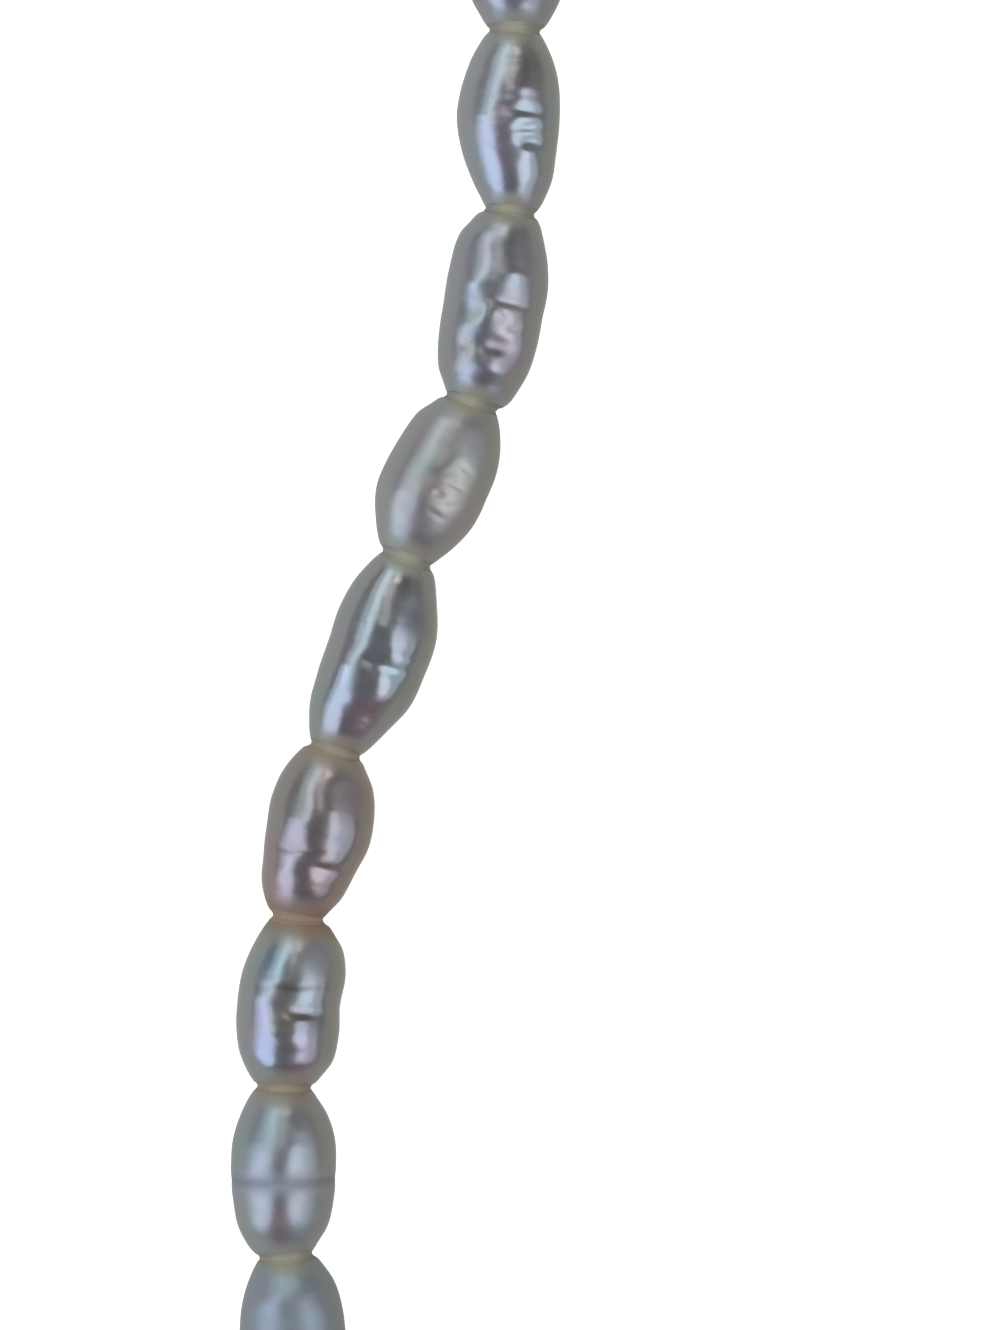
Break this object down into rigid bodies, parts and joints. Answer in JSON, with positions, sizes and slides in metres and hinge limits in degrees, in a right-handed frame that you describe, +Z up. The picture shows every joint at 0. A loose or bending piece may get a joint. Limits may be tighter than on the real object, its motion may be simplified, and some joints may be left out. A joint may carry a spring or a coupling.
{
  "type": "pearl choker",
  "caption": "Single-strand choker of knotted baroque freshwater rice pearls, closed by a plain box clasp and lying flat as a loop.",
  "frame": {"origin": "middle of the choker's footprint, on the surface that it lies on", "axes": "+Z up from the surface, +Y along the loop's longer side, +X from the loop's wavy side towards the clasp"},
  "size_m": [0.0922, 0.1382, 0.0048],
  "materials": {
    "nacre": "lustrous nacre with orient, finely ringed",
    "silk": "twisted cream silk, knotted",
    "silver": "polished silver"
  },
  "bodies": {
    "root": {"pearl_01": "nacre", "pearl_02": "nacre", "pearl_03": "nacre", "pearl_04": "nacre", "pearl_05": "nacre", "pearl_06": "nacre", "pearl_07": "nacre", "pearl_08": "nacre", "pearl_09": "nacre", "pearl_10": "nacre", "pearl_11": "nacre", "pearl_12": "nacre", "pearl_13": "nacre", "pearl_14": "nacre", "pearl_15": "nacre", "pearl_16": "nacre", "pearl_17": "nacre", "pearl_18": "nacre", "pearl_19": "nacre", "pearl_20": "nacre", "pearl_21": "nacre", "pearl_22": "nacre", "pearl_23": "nacre", "pearl_24": "nacre", "pearl_25": "nacre", "pearl_26": "nacre", "pearl_27": "nacre", "pearl_28": "nacre", "pearl_29": "nacre", "pearl_30": "nacre", "pearl_31": "nacre", "pearl_32": "nacre", "pearl_33": "nacre", "pearl_34": "nacre", "pearl_35": "nacre", "pearl_36": "nacre", "pearl_37": "nacre", "pearl_38": "nacre", "pearl_39": "nacre", "pearl_40": "nacre", "silk_thread": "silk", "clasp": "silver"}
  },
  "joints": []
}
